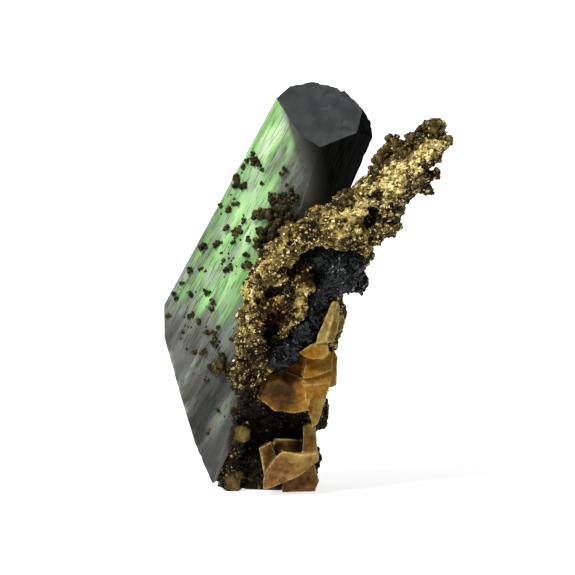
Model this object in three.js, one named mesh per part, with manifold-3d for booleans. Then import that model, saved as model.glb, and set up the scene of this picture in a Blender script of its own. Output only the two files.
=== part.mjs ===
// A vivianite crystal on its matrix: a leaning, see-through green prism with small siderite beads,
// grown on a brown drusy rock with amber siderite blocks and a vein of small dark vivianite.
// Millimetres. +Z is up, +X is to the right and +Y points away from a viewer who faces the large
// striated face. The origin is the middle of the specimen's footprint box, on the surface it rests on.
import * as THREE from "three";
import { ConvexGeometry } from "three/addons/geometries/ConvexGeometry.js";
import { mergeVertices } from "three/addons/utils/BufferGeometryUtils.js";
import Module from "manifold-3d";

// Driving dimensions
const crystalLean = THREE.MathUtils.degToRad(28); // the prism leans to the right by this much
const crystalFoot = [-3.1, 0, 39.0]; // where the prism's left edge meets its termination
const pieceGap = 0.15; // air left between two minerals that are separate solids
const rockRoughness = 0.2; // how far a rock lump's corners stray from its ellipsoid
const groundSize = 80; // a block this wide trims the foot flat
const goldenAngle = 2.39996; // spreads points evenly round a spiral
// Places are read off the front view, from 5 degrees above. A height there is the height at which
// a point shows on the plane y = 0, and what is nearer to the viewer sits higher by this slope.
const sightSlope = Math.tan(THREE.MathUtils.degToRad(5));

const wasm = await Module();
wasm.setup();

// A repeatable random generator, so that each lump keeps its shape from run to run.
function randomFrom(seed) {
  let state = seed * 2654435761;
  return () => {
    state = (state + 0x6d2b79f5) | 0;
    let mixed = Math.imul(state ^ (state >>> 15), 1 | state);
    mixed = (mixed + Math.imul(mixed ^ (mixed >>> 7), 61 | mixed)) ^ mixed;
    return ((mixed ^ (mixed >>> 14)) >>> 0) / 4294967296;
  };
}

function toSolid(geometry) {
  const bare = geometry.clone();
  bare.deleteAttribute("normal");
  bare.deleteAttribute("uv");
  const merged = mergeVertices(bare, 1e-4);
  return new wasm.Manifold(
    new wasm.Mesh({
      numProp: 3,
      vertProperties: new Float32Array(merged.attributes.position.array),
      triVerts: new Uint32Array(merged.index.array),
    }),
  );
}

function toGeometry(solid) {
  const mesh = solid.getMesh();
  const geometry = new THREE.BufferGeometry();
  geometry.setAttribute("position", new THREE.BufferAttribute(mesh.vertProperties, 3));
  geometry.setIndex(new THREE.BufferAttribute(mesh.triVerts, 1));
  return geometry;
}

function join(solids) {
  return solids.reduce((whole, piece) => whole.add(piece));
}

// The largest connected piece of a solid, without crumbs that a cut leaves or gaps sealed in it.
function mainBody(solid) {
  return solid.decompose().sort((a, b) => b.volume() - a.volume())[0];
}

const hullOf = (points) => toSolid(new ConvexGeometry(points));

function centreOf(points) {
  return points.reduce((sum, p) => sum.add(p), new THREE.Vector3()).divideScalar(points.length);
}

// The same hull with its corners moved out from its centre, to leave air round it. A flat block's
// broad faces move least, so its corners move by more than the gap.
function spaceFor(points) {
  const centre = centreOf(points);
  return hullOf(points.map((p) => p.clone().add(p.clone().sub(centre).setLength(2.2 * pieceGap))));
}

// A place read off the front view, as a point of the specimen.
const fromFront = ([x, y, height]) => new THREE.Vector3(x, y, height - sightSlope * y);

// Corner points of one faceted rock lump: an ellipsoid with rough, flat-faced sides.
function lumpPoints({ at, size, corners = 15, turn = 0 }, seed) {
  const random = randomFrom(seed);
  const points = [];
  for (let i = 0; i < corners; i++) {
    const height = 1 - (2 * (i + 0.5)) / corners;
    const around = i * goldenAngle + random() * 0.5;
    const ring = Math.sqrt(1 - height * height);
    const reach = 1 + (random() - 0.5) * 2 * rockRoughness;
    const point = new THREE.Vector3(
      Math.cos(around) * ring * size[0],
      Math.sin(around) * ring * size[1],
      height * size[2],
    ).multiplyScalar(reach);
    point.applyAxisAngle(new THREE.Vector3(0, 1, 0), turn);
    points.push(point.add(fromFront(at)));
  }
  return points;
}

// The vivianite prism, in its own upright frame before it leans:
// x across the striated face, y away from the viewer and z up the prism's length.
const topSlope = 0.8; // the termination climbs this much for each mm away from the viewer
const topLevel = 0.1;
const onTop = (x, z) => [x, (z - topLevel) / topSlope, z];
const prismCorners = {
  leftTop: onTop(0, 0.26),
  leftBackTop: onTop(0.7, 1.87),
  backTopLeft: onTop(3.0, 3.56),
  backTopRight: onTop(5.8, 4.0),
  rightBackTop: onTop(8.3, 3.15),
  rightTop: onTop(8.8, 0.96),
  ridgeTop: onTop(6.1, -1.84),
  frontTop: onTop(3.8, -1.72),
  rightBevel: [9.7, 5.5, 2.3],
  rightShoulder: [10.5, 3.4, 1.1],
  rightBackShoulder: [9.6, 7.2, -0.6],
  backShoulder: [5.6, 8.6, -1.8],
  leftBackShoulder: [1.4, 5.6, -1.0],
  leftBottom: [-0.2, 0.3, -23.3],
  leftBottomBevel: [1.3, -0.5, -26.1],
  frontBottom: [5.2, -3.0, -30.1],
  ridgeMiddle: [10.7, -4.1, -27.0],
  ridgeBottom: [9.5, -4.0, -34.4],
  tip: [12.4, -3.4, -36.6],
  tipBack: [12.9, -0.4, -36.2],
  rightMiddle: [12.5, -1.2, -24.0],
  rightBackBottom: [12.4, 3.6, -33.0],
  backBottom: [7.4, 7.4, -28.4],
  leftBackBottom: [1.6, 5.2, -24.2],
};
const prismCore = [6.2, 2.2, -15]; // a point inside it, from which its air gap is measured

function inRock(points) {
  const lean = new THREE.Vector3(0, 1, 0);
  return points.map((p) =>
    new THREE.Vector3(...p).applyAxisAngle(lean, crystalLean).add(new THREE.Vector3(...crystalFoot)),
  );
}

// The prism's corners moved out sideways and lengthwise, for the space it needs in the rock.
function prismWithGap(corners) {
  return corners.map(([x, y, z]) => {
    const aside = new THREE.Vector2(x - prismCore[0], y - prismCore[1]).setLength(1.5 * pieceGap);
    return [x + aside.x, y + aside.y, z + Math.sign(z - prismCore[2]) * pieceGap];
  });
}

// Siderite beads on the striated face: x and height on the front view, bead radius, beads in the clump.
const beadClumps = [
  [-5.3, 33.8, 0.28, 1], [-5.0, 32.9, 0.42, 4], [-5.9, 33.0, 0.32, 1],
  [-4.4, 32.1, 0.3, 1], [-6.4, 32.2, 0.42, 2], [-6.65, 31.5, 0.45, 3], [-6.6, 30.3, 0.48, 4],
  [-5.95, 30.6, 0.28, 1], [-2.15, 31.8, 0.42, 2], [-4.4, 30.7, 0.28, 1], [-1.95, 30.5, 0.26, 1],
  [-8.65, 28.4, 0.32, 2], [-7.8, 28.1, 0.42, 1], [-7.05, 28.6, 0.3, 2],
  [-6.45, 27.2, 0.42, 3], [-2.9, 29.1, 0.55, 3], [-2.2, 27.9, 0.85, 3], [-4.2, 27.3, 0.75, 4],
  [-3.3, 26.6, 0.9, 4], [-8.0, 26.2, 0.48, 1], [-6.9, 25.9, 0.5, 2],
  [-10.2, 24.35, 0.4, 2], [-8.9, 24.75, 0.42, 2], [-5.8, 25.1, 0.48, 1], [-7.3, 24.8, 0.3, 1],
  [-4.6, 25.2, 0.7, 3], [-5.9, 23.8, 0.42, 3], [-3.9, 24.2, 0.8, 3], [-8.2, 22.95, 0.3, 1],
  [-7.65, 22.2, 0.45, 2], [-11.65, 21.95, 0.42, 1], [-10.5, 22.1, 0.26, 2],
  [-12.4, 20.7, 0.34, 1], [-13.2, 19.7, 0.3, 1], [-12.95, 19.15, 0.32, 1],
  [-11.5, 19.6, 0.44, 1], [-10.15, 20.0, 0.26, 1], [-9.75, 19.6, 0.36, 2], [-9.3, 18.9, 0.36, 1],
  [-9.2, 18.3, 0.38, 2], [-5.7, 22.3, 0.5, 2], [-13.85, 17.5, 0.38, 1], [-11.45, 17.45, 0.32, 3],
  [-10.85, 16.85, 0.46, 1], [-12.3, 15.8, 0.26, 1], [-9.95, 15.8, 0.32, 1],
  [-8.75, 16.3, 0.26, 1], [-8.9, 15.7, 0.42, 2], [-8.85, 14.6, 0.44, 4], [-7.45, 15.05, 0.3, 1],
  [-11.15, 13.8, 0.32, 1], [-10.15, 13.7, 0.36, 2], [-8.7, 12.7, 0.8, 3],
  [-9.9, 10.95, 0.26, 2], [-8.8, 8.0, 0.28, 1], [-9.85, 5.75, 0.34, 1],
];
const beadSpread = 0.85; // a clump's beads sit this many radii from each other
const beadRise = 0.25; // how far a bead's middle stands out of the face, as a share of its radius
const roundBead = 0.48; // beads with a larger radius than this are round, smaller ones eight-sided

// One bead, or with some extra radius the space it needs.
function bead({ spot, size, tilt }, extra = 0) {
  const Form = size > roundBead ? THREE.IcosahedronGeometry : THREE.OctahedronGeometry;
  const ball = new Form(size + extra, 0);
  ball.rotateX(tilt[0]);
  ball.rotateZ(tilt[1]);
  ball.translate(spot.x, spot.y, spot.z);
  return toSolid(ball);
}

// Where the sight line through a place on the front view meets a surface.
function meetFront(skin, x, height) {
  const start = new THREE.Vector3(x, -groundSize, height + sightSlope * groundSize);
  const along = new THREE.Vector3(0, 1, -sightSlope).normalize();
  const hits = new THREE.Raycaster(start, along).intersectObject(skin);
  return hits.length ? hits[0].point : null;
}

function skinOf(geometry) {
  return new THREE.Mesh(geometry, new THREE.MeshBasicMaterial({ side: THREE.DoubleSide }));
}

// The beads on the face: each clump is a small spiral, partly sunk in the face.
function beadList(skin) {
  const beads = [];
  beadClumps.forEach(([x, height, radius, count], clump) => {
    const random = randomFrom(100 + clump);
    for (let i = 0; i < count; i++) {
      const swing = i * goldenAngle + random() * 2;
      const away = count > 1 ? radius * beadSpread * (0.55 + 0.25 * i) : 0;
      const size = radius * (0.85 + 0.3 * random());
      const tilt = [random() * 3, random() * 3];
      const spot = meetFront(skin, x + Math.cos(swing) * away, height + Math.sin(swing) * away);
      if (!spot) continue;
      spot.y -= beadRise * size;
      beads.push({ spot, size, tilt });
    }
  });
  return beads;
}

// Cleavage blocks of siderite. Each has a front outline, whose third number is how far a corner
// lies behind the front, and the same outline again at the back, drawn in towards its middle.
const backShrink = 0.8;
function block(outline, front, back) {
  const middle = [0, 1].map((k) => outline.reduce((sum, p) => sum + p[k], 0) / outline.length);
  return [
    ...outline.map(([x, height, y = 0]) => fromFront([x, front + y, height])),
    ...outline.map(([x, height]) => {
      const behind = fromFront([middle[0], front, middle[1]]);
      behind.y = back;
      behind.x += (x - middle[0]) * backShrink;
      behind.z += (height - middle[1]) * backShrink;
      return behind;
    }),
  ];
}

// The same, with a flat front that turns away from the viewer to the right and upwards: its depth
// grows by so much for each mm to the right, and for each mm up, from the outline's first corner.
function flatBlock(outline, front, back, [aside, upwards]) {
  const [startX, startHeight] = outline[0];
  const depths = outline.map(([x, height]) => (x - startX) * aside + (height - startHeight) * upwards);
  return block(outline.map(([x, height], i) => [x, height, depths[i]]), front, back);
}
const upperBlocks = [
  // the big curved block over the hollow: its lower edge is a sharp ledge
  block([[-4.9, 9.3, 1.2], [-3.2, 7.9, 0], [-1.4, 7.7, -0.6], [0.3, 8.0, -0.4], [0.4, 9.1, 0.1],
    [-0.4, 11.2, 1.4], [-2.2, 12.0, 2.4], [-4.3, 11.3, 2.2]], -6.6, -1.0),
  // the stack beside it, from its tapering foot up: each block oversails the one below
  flatBlock([[0.3, 9.1], [0.42, 7.7], [0.6, 6.2], [1.15, 6.6], [1.9, 8.8], [2.5, 10.9],
    [-0.4, 10.9]], -6.4, -0.4, [0.45, 0.12]),
  flatBlock([[-0.4, 10.5], [1.0, 10.5], [2.5, 10.7], [2.7, 12.3], [1.4, 12.0],
    [-0.3, 11.6]], -6.6, -0.4, [0.4, 0.45]),
  flatBlock([[-0.35, 11.1], [0.6, 11.25], [1.4, 11.65], [2.6, 12.0], [2.7, 13.6], [1.7, 13.6],
    [0.0, 13.4]], -6.8, -0.2, [0.4, 0.5]),
  flatBlock([[-0.2, 13.35], [0.65, 13.1], [1.7, 13.05], [2.3, 13.6], [2.1, 15.1], [0.65, 14.7],
    [-0.7, 13.75]], -7.0, -0.6, [0.35, 0.5]),
  block([[-0.5, 8.8, 0], [2.0, 8.8, 0.3], [2.5, 13.9, 0.6], [-0.3, 13.7, 0.2]], -5.0, -0.4),
  // the silky blade above it leans to the right, with a ridge down its middle
  flatBlock([[0.95, 14.6], [1.9, 14.8], [2.75, 17.0], [3.1, 18.9], [2.65, 18.8], [1.9, 17.2],
    [1.25, 15.8]], -6.1, -0.8, [0.15, 0.2]),
  flatBlock([[1.9, 14.8], [2.75, 14.7], [3.25, 16.6], [3.35, 18.2], [3.1, 18.9],
    [2.6, 17.0]], -5.94, -0.8, [0.9, -0.02]),
  flatBlock([[3.0, 15.6], [3.6, 15.9], [3.95, 16.8], [3.7, 17.6], [3.0, 17.4]], -3.4, -0.9, [0.3, 0]),
  block([[-3.2, 10.2, 1.6], [-0.4, 10.6, 0.6], [-0.1, 13.4, 1.8], [-1.0, 13.3, 2.4],
    [-3.4, 12.2, 2.4]], -5.9, 0.2),
  block([[3.0, 10.4, 0], [3.2, 13.2, 0], [2.6, 14.4, 0], [2.2, 10.2, 0]], -2.6, -0.4),
];
const lowerBlocks = [
  // the upright blade that holds the hollow's right side
  block([[-0.4, 3.5, 0], [-0.3, 6.3, 0.4], [0.3, 6.7, 0.6], [1.0, 6.2, 1.2], [1.15, 3.7, 1.0],
    [0.5, 3.2, 0.4]], -5.6, 1.6),
  // the front block with its lower edge lifted off the ground at the right
  block([[-4.3, 0.0, 0.6], [-4.2, 1.6, 0.6], [-3.2, 3.1, 0.5], [-2.4, 3.8, 0.8], [-0.1, 3.5, 0.2],
    [1.1, 3.7, 0.8], [0.4, 2.2, 0.3], [-0.9, 1.3, 0], [-3.6, 0.2, 0.2]], -6.9, -1.4),
  block([[-4.7, 4.2, 0], [-3.4, 4.8, 0.6], [-3.0, 3.3, 0.3], [-4.2, 1.6, 0],
    [-4.3, 2.8, -0.2]], -5.9, -2.0),
  block([[-3.5, 2.6, 0], [0.2, 2.6, 0], [0.2, 5.0, 0.2], [-3.2, 5.1, 0.2]], -3.6, 1.4),
  block([[0.2, 2.2, 0.2], [1.3, 2.9, 0.8], [1.2, 3.8, 0.4], [0.0, 3.2, 0]], -5.2, 0.4),
  block([[-2.4, -0.5, 0], [0.8, -0.5, 0.9], [1.3, 0.8, 0.3], [0.9, 2.7, 0.2], [-0.6, 2.9, 0],
    [-2.4, 2.8, 0.4]], -3.2, 2.6),
];
// two small blocks that are grown into the crust near the foot
const crustBlocks = [
  block([[-7.6, -0.4, 0.2], [-7.7, 0.75, 0.2], [-6.8, 1.4, 0], [-5.8, 0.65, 0.2],
    [-5.9, -0.4, 0.3]], -6.6, -4.0),
  block([[-7.0, 5.2, 0.2], [-6.4, 6.3, 0], [-5.6, 6.1, 0.2], [-5.5, 5.0, 0.4],
    [-6.2, 4.7, 0.2]], -5.5, -3.6),
];

// The blue-black vivianite under the spur, and the vein that runs down from it.
const darkLumps = [
  { at: [3.0, -4.2, 21.3], size: [2.7, 2.3, 2.6] },
  { at: [1.4, -4.3, 23.2], size: [2.0, 1.8, 1.5] },
  { at: [4.5, -3.2, 22.6], size: [1.3, 1.9, 1.9] },
  { at: [5.15, -2.2, 21.0], size: [0.95, 1.7, 1.7] },
  { at: [1.3, -4.1, 19.2], size: [1.0, 1.6, 1.7] },
  { at: [0.6, -4.5, 17.4], size: [0.85, 1.6, 1.8] },
  { at: [-0.3, -5.0, 15.7], size: [1.15, 1.6, 1.5] },
  { at: [-1.5, -5.3, 14.0], size: [1.6, 1.6, 1.3], turn: -0.7 },
  { at: [-2.8, -5.4, 12.8], size: [1.3, 1.3, 0.95] },
];

// The drusy rock, from the foot to the end of the spur.
const rockLumps = [
  { at: [-7.3, -0.6, 2.2], size: [1.25, 3.4, 4.2] },
  { at: [-6.9, -2.6, 5.2], size: [1.1, 2.2, 2.6], turn: 0.4 },
  { at: [-4.4, 1.2, 3.2], size: [4.0, 4.4, 4.8] },
  { at: [-1.2, 3.0, 2.6], size: [2.6, 3.2, 3.6] },
  { at: [-4.0, 1.4, 8.0], size: [3.8, 4.4, 3.6] },
  { at: [-6.0, -2.4, 8.6], size: [1.6, 2.6, 2.9], turn: 0.4 },
  { at: [-5.8, -3.6, 11.4], size: [2.1, 2.7, 2.5] },
  { at: [-5.5, -4.6, 14.6], size: [1.7, 2.1, 2.2] },
  { at: [-5.0, -4.6, 17.4], size: [1.7, 2.2, 1.9], turn: 0.5 },
  { at: [-2.6, -3.9, 16.0], size: [2.2, 2.4, 2.6] },
  { at: [-4.1, -4.0, 13.2], size: [1.8, 2.2, 1.8] },
  { at: [-0.4, -4.5, 21.2], size: [1.5, 2.0, 2.4] },
  { at: [-0.9, -4.2, 17.9], size: [1.5, 2.2, 2.2], turn: 0.3 },
  { at: [-2.4, -4.1, 15.2], size: [1.2, 1.9, 1.5], turn: 0.5 },
  { at: [1.6, -3.9, 16.9], size: [0.6, 1.9, 1.6] },
  { at: [-4.6, -3.9, 20.0], size: [1.3, 2.4, 1.7], turn: 0.6 },
  { at: [3.0, -4.3, 24.9], size: [2.2, 1.9, 1.2], turn: -0.2 },
  { at: [7.6, -2.0, 28.0], size: [1.6, 1.9, 2.0], turn: -0.4 },
  { at: [-3.0, -5.1, 18.6], size: [2.0, 1.9, 1.4] },
  { at: [-1.4, -4.6, 20.0], size: [1.8, 2.5, 2.4] },
  { at: [-3.4, -5.2, 22.0], size: [2.1, 2.3, 2.5] },
  { at: [-2.6, -5.6, 23.6], size: [1.9, 2.0, 1.9] },
  { at: [-0.2, -5.0, 25.4], size: [2.6, 2.2, 1.9], turn: -0.3 },
  { at: [2.4, -4.0, 26.4], size: [2.6, 2.6, 2.2], turn: -0.3 },
  { at: [4.6, -2.6, 25.4], size: [1.9, 3.0, 2.3] },
  { at: [5.4, -1.8, 23.2], size: [0.8, 2.2, 1.5] },
  { at: [3.0, -0.4, 22.8], size: [2.7, 3.6, 4.2] },
  { at: [1.0, 0.2, 17.6], size: [2.7, 4.0, 4.8] },
  { at: [2.6, -1.0, 18.4], size: [1.3, 2.4, 2.4] },
  { at: [0.2, 1.2, 12.4], size: [2.7, 4.0, 4.0] },
  { at: [-1.2, 1.6, 8.6], size: [3.0, 4.0, 3.6] },
  { at: [1.0, 1.6, 7.6], size: [1.5, 2.4, 1.8] },
  { at: [4.4, -2.4, 28.0], size: [2.4, 2.6, 2.2], turn: -0.8 },
  { at: [6.2, -2.0, 29.2], size: [2.6, 2.6, 2.1], turn: -0.8 },
  { at: [7.0, -1.6, 26.4], size: [2.0, 2.3, 1.6], turn: -0.5 },
  { at: [8.2, -1.4, 28.4], size: [1.6, 2.0, 1.8] },
  { at: [8.0, -1.4, 30.6], size: [2.6, 2.5, 2.2], turn: -0.8 },
  { at: [9.6, -1.0, 32.2], size: [2.5, 2.4, 2.2], turn: -0.8 },
  { at: [9.8, -1.2, 30.4], size: [1.7, 1.9, 1.5] },
  { at: [11.4, -1.0, 31.6], size: [1.6, 1.9, 1.5] },
  { at: [11.3, -0.8, 33.6], size: [2.2, 2.3, 2.1], turn: -0.8 },
  { at: [12.6, -0.6, 35.2], size: [1.6, 2.1, 1.7] },
];

// Small crystals that stand out along the spur's lower right edge.
const edgeCrystals = [
  { at: [14.1, -1.2, 35.0], size: [0.6, 0.45, 0.3], turn: 0.15 },
  { at: [13.1, -1.6, 33.2], size: [0.6, 0.5, 0.5] },
  { at: [12.9, -1.2, 31.8], size: [0.5, 0.6, 0.5] },
  { at: [12.1, -1.4, 30.4], size: [0.6, 0.5, 0.55] },
  { at: [8.9, -2.2, 26.4], size: [0.7, 0.6, 0.45], turn: 0.2 },
  { at: [8.2, -2.0, 25.6], size: [0.6, 0.6, 0.4] },
];

// Rounded siderite knobs along the spur's upper left edge: a line from low to high.
const knobLine = [
  [5.6, -1.6, 32.0], [6.6, -1.6, 32.4], [7.5, -1.4, 33.8], [8.8, -1.3, 35.0], [9.2, -1.2, 35.9],
  [10.6, -1.0, 36.8], [12.4, -0.9, 36.8], [13.4, -0.8, 36.5],
];
const knobSize = 0.56;
const knobsPerStep = 4;
const knobWander = 0.6; // how far a knob strays from the line, up or to the side
const knobDepth = 3.6; // and from front to back, over the spur's whole edge

function knobs() {
  const line = new THREE.CatmullRomCurve3(knobLine.map(fromFront));
  const random = randomFrom(77);
  const made = [];
  const count = (knobLine.length - 1) * knobsPerStep;
  for (let i = 0; i <= count; i++) {
    const spot = line.getPoint(i / count);
    spot.x += (random() - 0.3) * knobWander;
    spot.y += (random() - 0.5) * knobDepth;
    spot.z -= random() * knobWander;
    const size = knobSize * (0.75 + 0.5 * random());
    made.push(bead({ spot, size, tilt: [random() * 3, random() * 3] }));
  }
  return made;
}

// Small rough knots on the rock's front, where sight lines through a loose net of places meet it.
const knotStep = 2.45;
const knotSize = [0.55, 0.95];
const knotSunk = 0.3; // how deep a knot's middle lies, as a share of its radius
const knotShare = 0.24; // the share of the net's places that get a knot
function knots(rock) {
  const skin = skinOf(toGeometry(rock));
  const reach = new THREE.Box3().setFromObject(skin);
  const random = randomFrom(900);
  const made = [];
  for (let x = reach.min.x; x < reach.max.x; x += knotStep) {
    for (let height = reach.min.z + knotStep; height < reach.max.z; height += knotStep) {
      const [aside, above, size, kept] = [random(), random(), random(), random()];
      const spot = meetFront(skin, x + aside * knotStep, height + above * knotStep);
      if (!spot || kept > knotShare) continue;
      const radius = THREE.MathUtils.lerp(...knotSize, size);
      const depth = spot.y + knotSunk * radius;
      const at = [spot.x, depth, spot.z + sightSlope * depth];
      made.push({ at, size: [radius, radius, radius * 0.8], corners: 8, turn: size * 3 });
    }
  }
  return made;
}

// Pits and hollows: the dark hole in the middle, the hollow under the amber ledge, holes in the spur.
const rockPits = [
  { at: [-3.7, -7.2, 15.5], size: [0.85, 3.4, 1.35], turn: 0.15 },
  { at: [-2.0, -7.6, 17.6], size: [0.5, 1.9, 0.7], turn: 0.8 },
  { at: [-3.0, -5.0, 6.4], size: [3.3, 3.6, 1.7], turn: 0.15 },
  { at: [-5.2, -6.2, 3.0], size: [1.5, 2.6, 1.9] },
  { at: [6.6, -5.4, 29.2], size: [0.6, 2.2, 1.0], turn: 0.5 },
  { at: [6.5, -5.2, 27.6], size: [0.7, 1.7, 0.6] },
  { at: [10.6, -4.2, 31.8], size: [0.7, 1.6, 0.6] },
  { at: [11.7, -3.8, 34.6], size: [0.5, 1.6, 0.6] },
  { at: [-5.2, -8.0, 19.6], size: [1.0, 2.2, 0.7] },
  { at: [-2.0, -8.2, 20.0], size: [0.6, 1.6, 0.5] },
];

// Each list of lumps has its own seed, so that a change to one list leaves the others as they are.
const seeds = { dark: 300, rock: 500, edge: 600, pits: 700, knots: 1000 };
const cornersOf = (list, seed) => list.map((lump, i) => lumpPoints(lump, seed + i));
const lumps = (list, seed) => cornersOf(list, seed).map(hullOf);

function groundBelow() {
  const ground = new THREE.BoxGeometry(groundSize, groundSize, groundSize);
  ground.translate(0, 0, -groundSize / 2);
  return toSolid(ground);
}

const below = groundBelow();
const corners = Object.values(prismCorners);
const prismPoints = inRock(corners);
const beads = beadList(skinOf(new ConvexGeometry(prismPoints)));
const crystal = mainBody(join([hullOf(prismPoints), ...beads.map((one) => bead(one))]));
const beadSpace = join(beads.map((one) => bead(one, 2 * pieceGap)));
const crystalSpace = hullOf(inRock(prismWithGap(corners)));

const sideriteUpper = mainBody(join(upperBlocks.map(hullOf)).subtract(crystalSpace));
const sideriteLower = mainBody(join(lowerBlocks.map(hullOf)).subtract(crystalSpace).subtract(below));
const sideriteSpace = join([...upperBlocks, ...lowerBlocks].map(spaceFor));

const darkMass = join(lumps(darkLumps, seeds.dark));
const darkVein = mainBody(darkMass.subtract(crystalSpace).subtract(sideriteSpace));
const darkSpace = join(cornersOf(darkLumps, seeds.dark).map(spaceFor));

const boulders = join([...lumps(rockLumps, seeds.rock), ...crustBlocks.map(hullOf)])
  .subtract(join(lumps(rockPits, seeds.pits)));
const crust = [...lumps(edgeCrystals, seeds.edge), ...knobs(), ...lumps(knots(boulders), seeds.knots)];
const rock = mainBody(
  join([boulders, ...crust])
    .subtract(crystalSpace)
    .subtract(beadSpace)
    .subtract(sideriteSpace)
    .subtract(darkSpace)
    .subtract(below),
);

// The pieces, each with its own colour, moved so that the origin is the middle of the footprint box.
const finishes = {
  vivianite_crystal: { solid: crystal, color: "#4d7a4c", roughness: 0.15 },
  drusy_matrix: { solid: rock, color: "#7a6233", roughness: 0.85 },
  siderite_blocks_upper: { solid: sideriteUpper, color: "#a8672a", roughness: 0.4 },
  siderite_blocks_lower: { solid: sideriteLower, color: "#8d6648", roughness: 0.4 },
  dark_vivianite_vein: { solid: darkVein, color: "#23262f", roughness: 0.35 },
};

const specimen = new THREE.Group();
for (const [name, { solid, color, roughness }] of Object.entries(finishes)) {
  const material = new THREE.MeshStandardMaterial({ color, roughness, metalness: 0 });
  const mesh = new THREE.Mesh(toGeometry(solid), material);
  mesh.name = name;
  specimen.add(mesh);
}
const extent = new THREE.Box3().setFromObject(specimen);
const middle = extent.getCenter(new THREE.Vector3());
for (const mesh of specimen.children) mesh.position.set(-middle.x, -middle.y, -extent.min.z);

export default specimen;
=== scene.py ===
# A vivianite crystal on its matrix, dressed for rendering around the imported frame.
# Shapes are worked out in millimetres, in the frame's axes, and stored in metres.
import math

import bmesh
import bpy
import numpy as np
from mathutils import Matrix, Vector
from mathutils.bvhtree import BVHTree
from mathutils.kdtree import KDTree
from numpy.linalg import norm


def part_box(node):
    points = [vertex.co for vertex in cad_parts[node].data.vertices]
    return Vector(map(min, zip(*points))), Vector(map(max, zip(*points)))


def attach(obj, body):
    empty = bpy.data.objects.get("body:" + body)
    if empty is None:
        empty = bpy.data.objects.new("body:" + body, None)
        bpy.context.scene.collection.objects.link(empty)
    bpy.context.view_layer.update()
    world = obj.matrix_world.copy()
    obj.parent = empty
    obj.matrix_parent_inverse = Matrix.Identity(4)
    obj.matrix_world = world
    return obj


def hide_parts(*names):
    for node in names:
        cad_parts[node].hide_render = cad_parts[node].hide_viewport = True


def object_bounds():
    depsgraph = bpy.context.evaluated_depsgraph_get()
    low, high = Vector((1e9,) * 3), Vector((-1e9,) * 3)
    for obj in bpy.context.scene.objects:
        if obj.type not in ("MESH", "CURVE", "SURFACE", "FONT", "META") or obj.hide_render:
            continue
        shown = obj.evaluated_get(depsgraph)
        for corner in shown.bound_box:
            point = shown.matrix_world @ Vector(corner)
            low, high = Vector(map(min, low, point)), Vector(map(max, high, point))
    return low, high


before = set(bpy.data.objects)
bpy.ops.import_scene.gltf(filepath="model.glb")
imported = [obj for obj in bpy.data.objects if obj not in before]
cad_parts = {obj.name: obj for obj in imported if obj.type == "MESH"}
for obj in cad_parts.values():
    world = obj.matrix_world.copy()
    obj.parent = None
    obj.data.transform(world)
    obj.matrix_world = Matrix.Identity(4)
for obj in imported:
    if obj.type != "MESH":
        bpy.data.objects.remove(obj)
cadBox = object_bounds()

mm = 0.001
crystalLean = math.radians(28)  # the prism leans to the right by this much
crystalTop = np.array(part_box("vivianite_crystal")[1]) / mm
crystalFoot = crystalTop + [-9.79, -8.6, -1.73]  # where its left edge meets its termination
alongPrism = np.array([math.sin(crystalLean), 0, math.cos(crystalLean)])
acrossPrism = np.array([math.cos(crystalLean), 0, -math.sin(crystalLean)])
boxLow, boxHigh = (np.array(corner) / mm for corner in cadBox)
skinMargin = 0.01  # everything stays inside the frame's box by this much
sightSlope = 0.0875  # the front is seen from this much above, for each mm of depth


# Noise over arrays of points, from a hash of the cell that a point is in
def cellValue(cells, seed):
    mixed = cells[..., 0] * 73856093 ^ cells[..., 1] * 19349663 ^ cells[..., 2] * 83492791
    mixed = (mixed ^ seed * 2654435761) & 0xFFFFFFFF
    mixed = (mixed ^ mixed >> 15) * 2246822519 & 0xFFFFFFFF
    mixed = (mixed ^ mixed >> 13) * 3266489917 & 0xFFFFFFFF
    return (mixed ^ mixed >> 16) / 0xFFFFFFFF


def softNoise(points, size, seed):
    scaled = points / size
    cells = np.floor(scaled).astype(np.int64)
    part = scaled - cells
    part = part * part * (3 - 2 * part)
    total = np.zeros(len(points))
    for corner in np.ndindex(2, 2, 2):
        step = np.array(corner)
        share = np.prod(np.where(step == 1, part, 1 - part), axis=1)
        total += share * cellValue(cells + step, seed)
    return total * 2 - 1


def roughNoise(points, size, seed, octaves=3):
    total = np.zeros(len(points))
    for octave in range(octaves):
        total += softNoise(points, size / 2**octave, seed + octave) / 2**octave
    return total / 1.5


# Broken facets, each with its own level and tilt: the height and the facet's level
def facetNoise(points, size, seed):
    scaled = points / size
    cells = np.floor(scaled).astype(np.int64)
    nearest = np.full(len(points), 9.0)
    level = np.zeros(len(points))
    slant = np.zeros(len(points))
    for offset in np.ndindex(3, 3, 3):
        near = cells + np.array(offset) - 1
        spot = near + np.stack([cellValue(near, seed + k) for k in range(3)], axis=1)
        tilt = np.stack([cellValue(near, seed + 4 + k) for k in range(3)], axis=1) - 0.5
        away = scaled - spot
        distance = norm(away, axis=1)
        level = np.where(distance < nearest, cellValue(near, seed + 3), level)
        slant = np.where(distance < nearest, np.einsum("ij,ij->i", away, tilt), slant)
        nearest = np.minimum(nearest, distance)
    return level - 0.5 + 1.6 * slant, level


# Meshes as arrays
def readArray(items, field, width, kind=float):
    values = np.empty(len(items) * width, kind)
    items.foreach_get(field, values)
    return values.reshape(-1, width)


def nodeMesh(node):
    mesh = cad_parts[node].data
    mesh.calc_loop_triangles()
    return readArray(mesh.vertices, "co", 3) / mm, readArray(mesh.loop_triangles, "vertices", 3, np.int32)


def weldedNode(node):
    points, faces = nodeMesh(node)
    mesh = bpy.data.meshes.new("loose")
    mesh.from_pydata(points.tolist(), [], faces.tolist())
    solid = bmesh.new()
    solid.from_mesh(mesh)
    bpy.data.meshes.remove(mesh)
    bmesh.ops.remove_doubles(solid, verts=solid.verts, dist=0.001)
    return solid


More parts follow.
